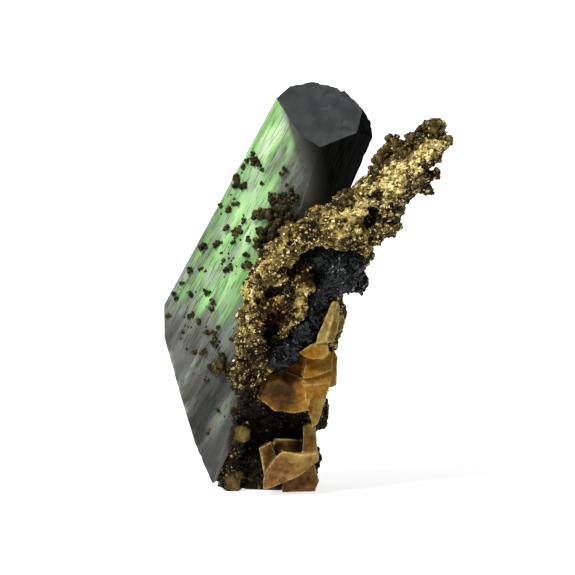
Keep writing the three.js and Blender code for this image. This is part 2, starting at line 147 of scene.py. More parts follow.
def addObject(name, data):
    made = bpy.data.objects.new(name, data)
    bpy.context.scene.collection.objects.link(made)
    return made


def fineGrid(node, voxel):
    solid = weldedNode(node)
    mesh = bpy.data.meshes.new("rough")
    solid.to_mesh(mesh)
    solid.free()
    holder = addObject("rough", mesh)
    grid = holder.modifiers.new("grid", "REMESH")
    grid.mode = "VOXEL"
    grid.voxel_size = voxel
    made = holder.evaluated_get(bpy.context.evaluated_depsgraph_get()).to_mesh()
    points = readArray(made.vertices, "co", 3)
    faces = readArray(made.loops, "vertex_index", 1, np.int32).reshape(-1, 4)
    bpy.data.objects.remove(holder)
    return points, faces


def faceNormals(points, faces):
    last = faces[:, 3] if faces.shape[1] == 4 else faces[:, 0]
    normals = np.cross(points[faces[:, 2]] - points[faces[:, 0]], points[last] - points[faces[:, 1]])
    areas = norm(normals, axis=1) / 2
    return normals / np.maximum(areas[:, None] * 2, 1e-12), areas


def pointNormals(points, faces):
    normals, areas = faceNormals(points, faces)
    total = np.zeros_like(points)
    for k in range(faces.shape[1]):
        for axis in range(3):
            total[:, axis] += np.bincount(faces[:, k], normals[:, axis] * areas, len(points))
    return total / np.maximum(norm(total, axis=1)[:, None], 1e-12)


def makePiece(name, points, faces, materials, node, marks, smooth=True, kinds=None):
    points = np.clip(points, boxLow + skinMargin, boxHigh - skinMargin)
    mesh = bpy.data.meshes.new(name)
    mesh.from_pydata((points * mm).tolist(), [], [list(face) for face in faces])
    if smooth:
        mesh.shade_smooth()
    for mark, values in marks.items():
        mesh.attributes.new(mark, "FLOAT", "POINT").data.foreach_set("value", values)
    for material in materials:
        mesh.materials.append(material)
    if kinds is not None:
        mesh.polygons.foreach_set("material_index", kinds)
    piece = addObject(name, mesh)
    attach(piece, "root")
    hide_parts(node)
    print("piece:", name, len(points), "points,", len(faces), "faces")
    return piece


# Many small forms in one mesh, from one template
def joinForms(template, templateFaces, spots, axes, sizes):
    count, corners = len(spots), len(template)
    shaped = template[None] * sizes[:, None]
    points = np.einsum("nij,nkj->nki", axes, shaped) + spots[:, None]
    faces = templateFaces[None] + (np.arange(count) * corners)[:, None, None]
    return points.reshape(-1, 3), faces.reshape(-1, templateFaces.shape[1])


# Axes along the given directions, turned about them at random
def axesAlong(directions, random):
    third = directions / norm(directions, axis=1)[:, None]
    loose = random.normal(size=third.shape)
    first = np.cross(loose, third)
    first /= norm(first, axis=1)[:, None]
    return np.stack([first, np.cross(third, first), third], axis=2)


def scatter(points, faces, count, random):
    normals, areas = faceNormals(points, faces)
    chosen = random.choice(len(faces), count, p=areas / areas.sum())
    weights = random.dirichlet(np.ones(faces.shape[1]), count)
    spots = np.einsum("nk,nkj->nj", weights, points[faces[chosen]])
    return spots, normals[chosen]


cubeCorners = np.array([[x, y, z] for x in (-1, 1) for y in (-1, 1) for z in (-1, 1)], float)
cubeFaces = np.array([[0, 1, 3, 2], [4, 6, 7, 5], [0, 4, 5, 1], [2, 3, 7, 6], [0, 2, 6, 4], [1, 5, 7, 3]])


# A cleavage rhomb: a cube pushed along its diagonal, standing on a corner
def rhombTemplate(squash=0.62):
    diagonal = np.ones(3) / math.sqrt(3)
    pushed = cubeCorners + np.outer(cubeCorners @ diagonal, diagonal) * (squash - 1)
    side = np.cross(diagonal, [1, 0, 0])
    side /= norm(side)
    turned = np.stack([pushed @ side, pushed @ np.cross(diagonal, side), pushed @ diagonal], axis=1)
    return turned / np.abs(turned).max(), cubeFaces


# A flat blade with a slanted end
def bladeTemplate():
    outline = [(-1, 0), (-0.6, 1), (0.6, 1), (1, 0), (0.6, -1), (-0.6, -1)]
    low = [(x, y * 0.35, -1) for x, y in outline]
    high = [(x, y * 0.35, 1 + 0.35 * x) for x, y in outline]
    sides = [[k, (k + 1) % 6, (k + 1) % 6 + 6, k + 6] for k in range(6)]
    ends = [[3, 2, 1, 0], [5, 4, 3, 0], [6, 7, 8, 9], [6, 9, 10, 11]]
    return np.array(low + high, float), np.array(sides + ends)


def ballTemplate(level):
    ball = bmesh.new()
    bmesh.ops.create_icosphere(ball, subdivisions=level, radius=1)
    points = np.array([v.co for v in ball.verts])
    faces = np.array([[v.index for v in f.verts] for f in ball.faces])
    ball.free()
    return points, faces


# How far points lie outside the prism, and where the nearest of its faces looks
def overPrism(points, planes):
    distances = np.stack([points @ normal - offset for normal, offset in planes], axis=1)
    facing = np.array([normal for normal, offset in planes])
    return distances.max(axis=1), facing[distances.argmax(axis=1)]


roundBead = 0.48  # balls with a larger radius have twenty sides, smaller ones eight
beadRise = 0.25  # a bead's middle stands out of the prism's face by this share of its radius
ballKinds = ((1.05146, 0.75576, True), (1.41421, 0.40825, False))  # edge by radius, depth by edge, is round


# A node's faceted balls, found by their equilateral triangles: middles and radii
def ballsOf(node, planes=None):
    points, faces = nodeMesh(node)
    corners = points[faces]
    edges = norm(corners - np.roll(corners, 1, axis=1), axis=2)
    equal = edges.max(axis=1) < edges.min(axis=1) * 1.02
    corners, side = corners[equal], edges[equal].mean(axis=1)
    inward = -faceNormals(points, faces[equal])[0]
    found = []
    for radiusShare, depthShare, isRound in ballKinds:
        radius = side / radiusShare
        fits = (radius > roundBead * 0.99) == isRound
        isSure = (side < roundBead * 1.05) | (side > roundBead * 1.42)
        middles = corners.mean(axis=1) + inward * (side * depthShare)[:, None]
        if planes is not None:
            away, facing = overPrism(middles, planes)
            isSure = np.abs(away - beadRise * radius * np.abs(facing[:, 1])) < 0.03
            fits &= isSure
        for middle, size, sure in zip(middles[fits], radius[fits], isSure[fits]):
            for ball in found:
                if ball["round"] == isRound and norm(ball["middle"] - middle) < 0.03:
                    ball["votes"] += 1
                    break
            else:
                found.append({"middle": middle, "radius": size, "votes": 1 + sure, "round": isRound})
    kept = []
    for ball in sorted(found, key=lambda one: -one["votes"]):
        clear = all(norm(ball["middle"] - other["middle"]) > 0.1 for other in kept)
        if clear and 0.2 < ball["radius"] < 1.1 and ball["votes"] >= 2:
            kept.append(ball)
    print("balls of", node, len(kept))
    return np.array([ball["middle"] for ball in kept]), np.array([ball["radius"] for ball in kept])


# Shaders
def newGroup(name, inputs, outputs):
    tree = bpy.data.node_groups.new(name, "ShaderNodeTree")
    for socket, value in inputs.items():
        made = tree.interface.new_socket(socket, in_out="INPUT", socket_type="NodeSocketFloat")
        made.default_value = value
    for socket in outputs:
        tree.interface.new_socket(socket, in_out="OUTPUT", socket_type="NodeSocketFloat")
    return tree, tree.nodes.new("NodeGroupInput"), tree.nodes.new("NodeGroupOutput")


def addNode(tree, kind, settings=None, **sockets):
    made = tree.nodes.new("ShaderNode" + kind)
    for name, value in (settings or {}).items():
        setattr(made, name, value)
    for name, value in sockets.items():
        socket = made.inputs[int(name[1:])] if name[0] == "_" else made.inputs[name]
        if isinstance(value, bpy.types.NodeSocket):
            tree.links.new(value, socket)
        else:
            socket.default_value = value
    return made


def mathNode(tree, operation, first, second=0.0, third=0.0):
    made = addNode(tree, "Math", {"operation": operation}, _0=first, _1=second, _2=third)
    return made.outputs[0]


def mixColors(tree, share, first, second, blend="MIX"):
    settings = {"data_type": "RGBA", "blend_type": blend, "clamp_factor": True}
    return addNode(tree, "Mix", settings, _0=share, _6=first, _7=second).outputs[2]


def colorRamp(tree, share, stops):
    ramp = addNode(tree, "ValToRGB", _0=share)
    elements = ramp.color_ramp.elements
    while len(elements) < len(stops):
        elements.new(0.5)
    for element, (place, color) in zip(elements, stops):
        element.position = place
        element.color = (*color, 1)
    return ramp.outputs["Color"]


def smoothMask(tree, value, low, high, first=0.0, last=1.0):
    settings = {"interpolation_type": "SMOOTHSTEP"}
    made = addNode(tree, "MapRange", settings, _0=value, _1=low, _2=high, _3=first, _4=last)
    return made.outputs[0]


# Streaks along the prism, sized in millimetres
def streakGroup():
    inputs = {"Width": 0.4, "Length": 8.0, "Low": 0.4, "High": 0.6, "Offset": 0.0, "Detail": 3.0}
    tree, given, result = newGroup("grownStreaks", inputs, ["Mask"])
    place = addNode(tree, "TexCoord").outputs["Object"]
    settings = {"rotation_type": "Y_AXIS"}
    turned = addNode(tree, "VectorRotate", settings, Vector=place, Angle=-crystalLean)
    thin = mathNode(tree, "DIVIDE", 1000.0, given.outputs["Width"])
    long = mathNode(tree, "DIVIDE", 1000.0, given.outputs["Length"])
    scale = addNode(tree, "CombineXYZ", X=thin, Y=thin, Z=long)
    scaled = addNode(tree, "VectorMath", {"operation": "MULTIPLY"},
                     _0=turned.outputs[0], _1=scale.outputs[0])
    moved = addNode(tree, "VectorMath", {"operation": "ADD"},
                    _0=scaled.outputs[0], _1=given.outputs["Offset"])
    pattern = addNode(tree, "TexNoise", Vector=moved.outputs[0], Scale=1.0,
                      Detail=given.outputs["Detail"], Roughness=0.55)
    mask = smoothMask(tree, pattern.outputs[0], given.outputs["Low"], given.outputs["High"])
    tree.links.new(mask, result.inputs["Mask"])
    return tree


# Uneven patches and relief, sized in millimetres
def mottleGroup():
    inputs = {"Patch": 1.5, "Grain": 0.15, "Low": 0.35, "High": 0.65}
    tree, given, result = newGroup("mineralMottle", inputs, ["Patches", "Relief"])
    place = addNode(tree, "TexCoord").outputs["Object"]
    wide = mathNode(tree, "DIVIDE", 1000.0, given.outputs["Patch"])
    fine = mathNode(tree, "DIVIDE", 1000.0, given.outputs["Grain"])
    patches = addNode(tree, "TexNoise", Vector=place, Scale=wide, Detail=4.0, Roughness=0.6)
    mask = smoothMask(tree, patches.outputs[0], given.outputs["Low"], given.outputs["High"])
    relief = addNode(tree, "TexNoise", Vector=place, Scale=fine, Detail=3.0, Roughness=0.6)
    tree.links.new(mask, result.inputs["Patches"])
    tree.links.new(relief.outputs[0], result.inputs["Relief"])
    return tree


streaks = streakGroup()
mottle = mottleGroup()


def useGroup(tree, group, **values):
    made = addNode(tree, "Group", {"node_tree": group})
    for name, value in values.items():
        made.inputs[name].default_value = value
    return made


def newMaterial(name, plain):
    material = bpy.data.materials.new(name)
    material.use_nodes = True
    shader = material.node_tree.nodes["Principled BSDF"]
    for socket, value in plain.items():
        shader.inputs[socket].default_value = value
    return material, material.node_tree, shader


def attributeOf(tree, mark):
    return addNode(tree, "Attribute", {"attribute_name": mark}).outputs["Fac"]


def finishSurface(tree, shader, color, height, strength, distance):
    bump = addNode(tree, "Bump", Strength=strength, Distance=distance * mm, Height=height)
    tree.links.new(color, shader.inputs["Base Color"])
    tree.links.new(bump.outputs[0], shader.inputs["Normal"])


# The prism's colours: the ramp runs from painted shade to the green of painted light, the dusk and shade
# colours are painted shade, and the sheen colour is a painted reflection
vivianiteFinish = {
    "stops": [(0.0, (0.008, 0.008, 0.007)), (0.22, (0.047, 0.048, 0.042)), (0.42, (0.165, 0.168, 0.148)),
              (0.56, (0.175, 0.25, 0.14)), (0.72, (0.27, 0.53, 0.18)), (0.88, (0.42, 0.78, 0.29)),
              (1.0, (0.68, 0.88, 0.52))],
    "dusk": [(0.1, (0.091, 0.091, 0.083)), (0.34, (0.045, 0.045, 0.040)), (0.515, (0.026, 0.026, 0.022)),
             (0.68, (0.013, 0.013, 0.011)), (0.91, (0.0056, 0.0056, 0.005))],
    "worn": (0.62, 0.66, 0.56, 1),
    "paintedSheen": (0.46, 0.49, 0.45, 1),
    "scratch": (0.5, 0.52, 0.5, 1),
    "shade": ((0.004, 0.004, 0.004, 1), (0.013, 0.014, 0.012, 1)),
    "end": ((0.032, 0.035, 0.036, 1), (0.056, 0.06, 0.061, 1)),
    "wornEnd": (0.16, 0.17, 0.17, 1),
    "soakColor": (0.35, 0.72, 0.30, 1),
    "soak": 25.0,  # per metre
}


def addAbsorption(tree):
    finish = vivianiteFinish
    soak = addNode(tree, "VolumeAbsorption", Color=finish["soakColor"], Density=finish["soak"])
    tree.links.new(soak.outputs[0], tree.nodes["Material Output"].inputs["Volume"])


# Painted shade: the smooth grey of the dark upper right, which fades to black
def duskColor(tree, gain):
    stops = [(place, tuple(gain * value for value in color)) for place, color in vivianiteFinish["dusk"]]
    return colorRamp(tree, attributeOf(tree, "dusk"), stops)


def vivianiteFace():
    plain = {"Roughness": 0.18, "IOR": 1.6, "Transmission Weight": 0.42, "Specular IOR Level": 0.3}
    material, tree, shader = newMaterial("vivianiteFace", plain)
    finish = vivianiteFinish
    # Painted light and shade: the light mark moves the colour from dark grey to clear green
    light = attributeOf(tree, "light")
    wide = useGroup(tree, streaks, Width=2.2, Length=10.0, Low=0.36, High=0.64, Detail=2.0)
    fine = useGroup(tree, streaks, Width=0.42, Length=4.0, Low=0.3, High=0.7, Offset=7.0, Detail=1.0)
    sheenStreaks = useGroup(tree, streaks, Width=1.0, Length=3.5, Low=0.48, High=0.66, Offset=19.0, Detail=4.0)
    scratched = useGroup(tree, streaks, Width=0.13, Length=1.5, Low=0.6, High=0.68, Offset=27.0, Detail=0.0)
    thin = useGroup(tree, streaks, Width=0.35, Length=9.0, Low=0.3, High=0.7, Offset=3.0, Detail=0.5)
    streaky = mathNode(tree, "MULTIPLY", wide.outputs[0], 0.33)
    streaky = mathNode(tree, "MULTIPLY_ADD", fine.outputs[0], 0.13, streaky)
    calm = attributeOf(tree, "calm")
    streaky = mathNode(tree, "MULTIPLY", streaky, mathNode(tree, "SUBTRACT", 1.0, calm))
    streaky = mathNode(tree, "MULTIPLY_ADD", calm, 0.16, streaky)
    window = mathNode(tree, "ADD", streaky, mathNode(tree, "MULTIPLY_ADD", light, 0.46, 0.04))
    color = colorRamp(tree, window, finish["stops"])
    # A painted silvery sheen in streaks, stronger where the face has painted light
    paintedSheen = mathNode(tree, "MULTIPLY", sheenStreaks.outputs[0], mathNode(tree, "MULTIPLY", light, 0.55))
    color = mixColors(tree, paintedSheen, color, finish["paintedSheen"])
    color = mixColors(tree, scratched.outputs[0], color, finish["scratch"], "MULTIPLY")
    # Painted shade of the dusk over the upper right
    inDusk = mathNode(tree, "MULTIPLY", attributeOf(tree, "dusk"), 6.0)
    color = mixColors(tree, inDusk, color, duskColor(tree, 1.0))
    color = mixColors(tree, attributeOf(tree, "worn"), color, finish["worn"])
    finishSurface(tree, shader, color, thin.outputs[0], 0.2, 0.04)
    addAbsorption(tree)
    return material


# The shaded right side and the faces in the dusk: near-black painted shade, with the painted grey of the
# dusk towards the lit part
def vivianiteShade(name, gain):
    plain = {"Roughness": 0.28, "IOR": 1.6, "Transmission Weight": 0.02, "Specular IOR Level": 0.0}
    material, tree, shader = newMaterial(name, plain)
    fine = useGroup(tree, streaks, Width=0.35, Length=6.0, Low=0.35, High=0.75, Offset=11.0, Detail=1.0)
    color = mixColors(tree, fine.outputs[0], *vivianiteFinish["shade"])
    beyond = mathNode(tree, "MULTIPLY_ADD", attributeOf(tree, "dusk"), 5.0, -4.0)
    color = mixColors(tree, beyond, duskColor(tree, gain), color)
    finishSurface(tree, shader, color, fine.outputs[0], 0.25, 0.05)
    addAbsorption(tree)
    return material


def vivianiteEnd():
    plain = {"Roughness": 0.38, "IOR": 1.6, "Transmission Weight": 0.2}
    material, tree, shader = newMaterial("vivianiteEnd", plain)
    patchy = useGroup(tree, mottle, Patch=2.5, Grain=0.25, Low=0.35, High=0.7)
    color = mixColors(tree, patchy.outputs["Patches"], *vivianiteFinish["end"])
    color = mixColors(tree, attributeOf(tree, "worn"), color, vivianiteFinish["wornEnd"])
    finishSurface(tree, shader, color, patchy.outputs["Relief"], 0.07, 0.03)
    addAbsorption(tree)
    return material


# The prism: the frame's own flat faces, finely cut, with growth lines and chipped edges
prismShape = {
    "smallestFace": 0.7,  # square mm, larger than any facet of a bead
    "sameFacing": 0.99995,
    "sameHeight": 0.02,
    "sharpEdge": math.radians(9),
    "stepAcross": 0.25,
    "stepDeep": 0.3,
    "stepAlong": 0.7,
    "stepAlongTop": 0.25,
    "topPart": 4.5,  # this much of the length has the finer steps
    "growthLines": 0.035,
    "chips": 0.3,
    "chipReach": 0.25,  # how far chips, flakes and wear go in from an edge
    "dents": 0.09,  # shallow dents in the termination
    "flakes": 0.55,  # steps along the termination's back edge
    "flakeReach": 0.35,
    "flakesAcross": ((2.4, 3.4), (7.4, 8.4)),  # where they start and where they end
    "wornReach": 0.16,
    "worn": 0.12,
    "wornLow": 0.45,  # the low left edge is worn more
    "shading": math.radians(14),
}


def prismPlanes():
    points, faces = nodeMesh("vivianite_crystal")
    normals, areas = faceNormals(points, faces)
    middles = points[faces].mean(axis=1)
    offsets = np.einsum("ij,ij->i", normals, middles)
    planes = []
    free = np.ones(len(faces), bool)
    for start in np.argsort(-areas):
        if not free[start]:
            continue
        flat = free & (normals @ normals[start] > prismShape["sameFacing"])
        flat &= np.abs(offsets - offsets[start]) < prismShape["sameHeight"]
        free &= ~flat
        beyond = middles @ normals[start] > offsets[start] + 0.05
        isOuter = areas[beyond].sum() < 0.25 * areas.sum()
        if areas[flat].sum() > prismShape["smallestFace"] and isOuter:
            planes.append((normals[start], offsets[start]))
    print("prism planes:", len(planes))
    return planes


# Distances across the prism's front and along it, from where its left edge ends
def prismPlace(points):
    return (points - crystalFoot) @ acrossPrism, (points - crystalFoot) @ alongPrism


def cutSolid(solid, place, direction, slack, clearOuter=False):
    everything = solid.verts[:] + solid.edges[:] + solid.faces[:]
    bmesh.ops.bisect_plane(solid, geom=everything, plane_co=place, plane_no=direction, dist=slack,
                           clear_outer=clearOuter)


def buildPrism(planes):
    solid = bmesh.new()
    bmesh.ops.create_cube(solid, size=120)
    for normal, offset in planes:
        cutSolid(solid, normal * offset, normal, 1e-5, clearOuter=True)
        rim = [edge for edge in solid.edges if edge.is_boundary]
        if rim:
            bmesh.ops.edgeloop_fill(solid, edges=rim)
    corners = np.array([v.co for v in solid.verts])
    edges = [(np.array(e.verts[0].co), np.array(e.verts[1].co)) for e in solid.edges
             if e.calc_face_angle(0) > prismShape["sharpEdge"]]
    across, along = prismPlace(corners)
    deep, top = corners[:, 1], along.max() - prismShape["topPart"]
    cuts = [(acrossPrism, crystalFoot, across.min(), across.max(), prismShape["stepAcross"]),
            (np.array([0, 1.0, 0]), np.zeros(3), deep.min(), deep.max(), prismShape["stepDeep"]),
            (alongPrism, crystalFoot, along.min(), top, prismShape["stepAlong"]),
            (alongPrism, crystalFoot, top, along.max(), prismShape["stepAlongTop"])]
    for direction, origin, low, high, step in cuts:
        for value in np.arange(low, high, step):
            cutSolid(solid, origin + direction * value, direction, 1e-4)
    bmesh.ops.remove_doubles(solid, verts=solid.verts, dist=0.004)
    solid.normal_update()
    return solid, edges


def distanceToEdges(points, edges):
    nearest = np.full(len(points), 99.0)
    for start, end in edges:
        line = end - start
        share = np.clip((points - start) @ line / (line @ line), 0, 1)
        nearest = np.minimum(nearest, norm(points - start - share[:, None] * line, axis=1))
    return nearest


def smoothStep(values, low, high):
    share = np.clip((values - low) / (high - low), 0, 1)
    return share * share * (3 - 2 * share)


def fallOff(distance, reach):
    return np.exp(-(distance / reach) ** 2)


# Painted light and shade on the prism's front: 1 is clear green where light would shine through, 0 is dark
# painted shade.
# A change starts and ends at the two distances Along the prism, or at the two Down from its top.
lightPlan = {
    "edgeOfLight": ((-25, 0), (6.5, 2.9)),  # distances along, and across where the clear part ends
    "fadeAcross": 2.6,
    "grey": 0.76,
    "greyDown": (19.0, 26.0),
    "window": (9.8, -30.2),  # a clear spot of painted light near the foot: its place across and along
    "windowSize": (0.65, 2.6),
    "windowLight": 0.8,
    "bright": 0.35,  # the brightest band of painted light, along the upper part of the left edge
    "brightWide": 2.2,
    "brightAlong": (-20.0, -4.0),
    "dark": 0.55,
    "darkEdge": ((-9.0, -2.0), (8.0, 5.3)),  # distances along, and across where painted shade darkens the upper right
    "darkFade": 1.5,
    "darkAlong": (-17.0, -11.0),
    "end": 0.3,
    "endDown": (31.5, 35.0),
    "calm": 0.65,  # the low end has weaker streaks
    "calmDown": (20.0, 27.0),
    "dusk": (-1.4, 2.0),  # where the dusk starts and ends, across the front at its height
    "duskHeight": 32.96,
    "duskSlope": 0.27,  # it starts further right the lower it is
}

# Painted light on the back: green in soft bands and grey at its low end
backPlan = {
    "facing": 0.3,  # a face looks back if its normal does so by more than this
    "light": 0.5,
    "bands": 0.3,
    "bandSize": (2.6, 12.0),
    "grey": 0.4,
    "greyDown": (18.0, 30.0),
}


# Painted shade: how far into the dusk of the upper right each point lies
def duskOf(points):
    low, high = lightPlan["dusk"]
    seen = points[:, 2] + sightSlope * points[:, 1] - lightPlan["duskHeight"]
    return np.clip((points[:, 0] + lightPlan["duskSlope"] * seen - low) / (high - low), 0, 1)


# The painted light of each point on the front, by the plan above
def lightOf(points):
    plan = lightPlan
    across, along = prismPlace(points)
    edge = np.interp(along, *plan["edgeOfLight"])
    light = 1 - smoothStep(across, edge - plan["fadeAcross"] / 2, edge + plan["fadeAcross"])
    light *= 1 - plan["grey"] * smoothStep(-along, *plan["greyDown"])
    (windowAcross, windowAlong), (wide, long) = plan["window"], plan["windowSize"]
    light += plan["windowLight"] * fallOff(across - windowAcross, wide) * fallOff(along - windowAlong, long)
    light += plan["bright"] * fallOff(across, plan["brightWide"]) * smoothStep(along, *plan["brightAlong"])
    darkFrom = np.interp(along, *plan["darkEdge"])
    dark = smoothStep(across, darkFrom - plan["darkFade"], darkFrom + plan["darkFade"])
    light -= plan["dark"] * dark * smoothStep(along, *plan["darkAlong"])
    return light - plan["end"] * smoothStep(-along, *plan["endDown"])


def backLight(points):
    across, along = prismPlace(points)
    wide, long = backPlan["bandSize"]
    bands = roughNoise(np.stack([across / wide, points[:, 1] / wide, along / long], axis=1), 1.0, 41)
    grey = backPlan["grey"] * smoothStep(-along, *backPlan["greyDown"])
    return backPlan["light"] + backPlan["bands"] * bands - grey


# The faces are of four kinds: 0 clear, 1 the shaded right side, 2 the termination, 3 in the dusk
def dressCrystal(planes):
    shape = prismShape
    solid, edges = buildPrism(planes)
    normals = np.array([face.normal for face in solid.faces])
    kinds = np.zeros(len(solid.faces), np.int32)
    kinds[(normals @ alongPrism > 0.3) & (normals @ acrossPrism < 0.4)] = 2
    kinds[(normals @ acrossPrism > 0.35) & (kinds == 0) & (normals[:, 1] < backPlan["facing"])] = 1
    points = np.array([v.co for v in solid.verts])
    inward = -np.array([v.normal for v in solid.verts])
    faces = [[v.index for v in face.verts] for face in solid.faces]
    solid.free()
    across, along = prismPlace(points)
    ribs = np.stack([across, points[:, 1], along * 0.04], axis=1)
    depth = shape["growthLines"] * (1 + softNoise(ribs, 0.5, 3))
    nearEdge = distanceToEdges(points, edges)
    chips = np.clip(roughNoise(points, 0.9, 9) - 0.25, 0, 1) * fallOff(nearEdge, shape["chipReach"])
    depth += shape["chips"] * chips
    onTop = along > along.max() - shape["topPart"]
    depth += shape["dents"] * smoothStep(roughNoise(points, 0.9, 17), 0.3, 0.55) * onTop
    flakesStart, flakesEnd = shape["flakesAcross"]
    flaked = smoothStep(across, *flakesStart) * (1 - smoothStep(across, *flakesEnd)) * (along > 2.0)
    flaked *= facetNoise(points, 0.75, 23)[1] * fallOff(nearEdge, shape["flakeReach"])
    depth += shape["flakes"] * flaked
    worn = fallOff(nearEdge, shape["wornReach"]) * smoothStep(roughNoise(points, 0.6, 13), -0.2, 0.4)
    worn *= shape["worn"] + shape["wornLow"] * smoothStep(-along, 24, 28) * (across < 8)
    onBack = smoothStep(-inward[:, 1], backPlan["facing"], backPlan["facing"] + 0.2)
    dusk = duskOf(points) * (1 - onBack)
    light = lightOf(points)
    light += onBack * (backLight(points) - light)
    inDusk = np.array([dusk[face].min() for face in faces]) > 0.13
    kinds[inDusk & (kinds == 0) & (normals[:, 1] < -0.4)] = 3
    worn *= 1 - smoothStep(dusk, 0.02, 0.1)
    points = points + inward * depth[:, None]
    calm = lightPlan["calm"] * smoothStep(-prismPlace(points)[1], *lightPlan["calmDown"])
    materials = [vivianiteFace(), vivianiteShade("vivianiteShade", 1.8), vivianiteEnd(),
                 vivianiteShade("vivianiteDusk", 1.0)]
    marks = {"light": light, "worn": worn, "dusk": dusk, "calm": calm}
    piece = makePiece("crystal_prism", points, faces, materials, "vivianite_crystal", marks,
                      kinds=kinds)
    piece.data.set_sharp_from_angle(angle=shape["shading"])


# A rough mineral: colours by tone and patches, with rust and bare places over them
def mineralMaterial(name, plain, look):
    material, tree, shader = newMaterial(name, plain)
    patchy = useGroup(tree, mottle, **look["mottle"])
    patches, relief = patchy.outputs["Patches"], patchy.outputs["Relief"]
    tone = mathNode(tree, "MULTIPLY", attributeOf(tree, "tone"), look["tone"])
    color = colorRamp(tree, mathNode(tree, "MULTIPLY_ADD", patches, look["patches"], tone), look["stops"])
    if "rust" in look:
        color = mixColors(tree, attributeOf(tree, "rust"), color, look["rust"], "MULTIPLY")
        color = mixColors(tree, attributeOf(tree, "bare"), color, mixColors(tree, patches, *look["bare"]))
    finishSurface(tree, shader, color, relief, *look["bump"])
    return material


# Siderite beads: knobbly clumps of rounded lumps
def beadMaterial(name, stops):
    look = {"mottle": {"Patch": 0.35, "Grain": 0.08, "Low": 0.35, "High": 0.7}, "tone": 0.6, "patches": 0.5,
            "stops": stops, "bump": (0.5, 0.03)}
    return mineralMaterial(name, {"Roughness": 0.4, "Specular IOR Level": 0.14}, look)


beadShape = {
    "stops": [(0.0, (0.003, 0.003, 0.001)), (0.45, (0.015, 0.012, 0.003)), (0.8, (0.046, 0.033, 0.006)),
              (1.0, (0.125, 0.09, 0.02))],
    "full": 0.92,  # a clump's size for each ball's radius
    "contacts": 150,  # beads along the line where the rock meets the crystal
    "contactSize": (0.14, 0.36),
    "contactReach": 0.55,
    "core": 0.62,
    "lumps": 6,
    "lumpSize": (0.34, 0.56),
    "spread": 0.74,
    "flat": 0.75,
    "rough": 0.22,
    "crumbs": 90,
    "crumbSize": (0.08, 0.2),
    "clumps": [(-2.9, 27.6, 0.75, 32), (-2.2, 29.0, 0.4, 8), (-3.9, 25.4, 0.5, 12)],
    "clumpSize": (0.3, 0.62),  # above: x, height, width and number of beads of each crowded place
}


# Each ball becomes a core with smaller flattened lumps round it
def clumps(middles, radii, random, shape, level=2):
    template, faces = ballTemplate(level)
    counts = shape["lumps"]
    way = random.normal(size=(len(middles), counts, 3))
    way /= norm(way, axis=2)[..., None]
    share = random.uniform(*shape["lumpSize"], (len(middles), counts))
    spots = middles[:, None] + way * (radii[:, None] * shape["spread"])[..., None]
    sizes = share * radii[:, None]
    spots = np.concatenate([middles, spots.reshape(-1, 3)])
    axes = axesAlong(np.concatenate([random.normal(size=middles.shape), way.reshape(-1, 3)]), random)
    reach = np.concatenate([radii * shape["core"], sizes.reshape(-1)])
    flat = np.concatenate([np.ones(len(middles)), np.full(sizes.size, shape["flat"])])
    sizes3 = np.stack([reach, reach * 0.9, reach * flat], axis=1)
    points, allFaces = joinForms(template, faces, spots, axes, sizes3)
    centres = np.repeat(spots, len(template), axis=0)
    away = points - centres
    points = centres + away * (1 + shape["rough"] * roughNoise(points, 0.3, 21))[:, None]
    tone = np.repeat(random.uniform(0, 1, len(spots)), len(template))
    return points, allFaces, tone


# Crumbs on the same face as the beads they lie beside
def crumbsBeside(middles, radii, planes, random):
    count = beadShape["crumbs"]
    picked = random.integers(len(middles), size=count)
    spots = middles[picked] + random.normal(size=(count, 3)) * (radii[picked] + 0.5)[:, None] * 0.8
    away, normals = overPrism(middles[picked], planes)
    away += np.einsum("ij,ij->i", spots - middles[picked], normals)
    spots -= normals * away[:, None]
    onFace = overPrism(spots, planes)[0] < 0.01
    return spots[onFace], random.uniform(*beadShape["crumbSize"], count)[onFace]


# Beads on the front of the prism, close beside the rock
def beadsAtContact(planes, random):
    spots = scatter(*nodeMesh("drusy_matrix"), 14000, random)[0]
    away, normals = overPrism(spots, planes)
    beside = (away < beadShape["contactReach"]) & (normals[:, 1] < -0.4)
    spots, normals = spots[beside], normals[beside]
    spots = spots + random.normal(size=spots.shape) * beadShape["contactReach"]
    spots = spots - normals * overPrism(spots, planes)[0][:, None]
    kept = np.abs(overPrism(spots, planes)[0]) < 0.02
    spots = spots[kept][:beadShape["contacts"]]
    return spots, random.uniform(*beadShape["contactSize"], len(spots))


# Beads crowded at some places of the front, on the first face that a line of sight meets
def beadsInClumps(planes, random):
    facing = [(normal, offset) for normal, offset in planes if normal[1] < sightSlope * normal[2] - 0.05]
    spots, sizes = [], []
    for x, height, width, count in beadShape["clumps"]:
        for _ in range(count):
            seenX, seenHeight = x + random.normal() * width, height + random.normal() * width
            y = max((offset - across * seenX - up * seenHeight) / (deep - sightSlope * up)
                    for (across, deep, up), offset in facing)
            spots.append([seenX, y, seenHeight - sightSlope * y])
            sizes.append(random.uniform(*beadShape["clumpSize"]))
    return np.array(spots), np.array(sizes)


def dressBeads(planes):
    random = np.random.default_rng(5)
    middles, radii = ballsOf("vivianite_crystal", planes)
    crumbs, crumbSizes = crumbsBeside(middles, radii, planes, random)
    for spots, sizes in (beadsAtContact(planes, random), beadsInClumps(planes, random)):
        middles, radii = np.concatenate([middles, spots]), np.concatenate([radii, sizes])
    full = beadShape["full"]
    points, faces, tone = clumps(middles, radii * full, random, beadShape)
    crumbPoints, crumbFaces, crumbTone = clumps(crumbs, crumbSizes * full, random, beadShape, level=1)
    faces = np.concatenate([faces, crumbFaces + len(points)])
    points, tone = np.concatenate([points, crumbPoints]), np.concatenate([tone, crumbTone])
    material = beadMaterial("beadSiderite", beadShape["stops"])
    makePiece("crystal_beads", points, faces, [material], "vivianite_crystal",
              {"tone": tone}, smooth=False)


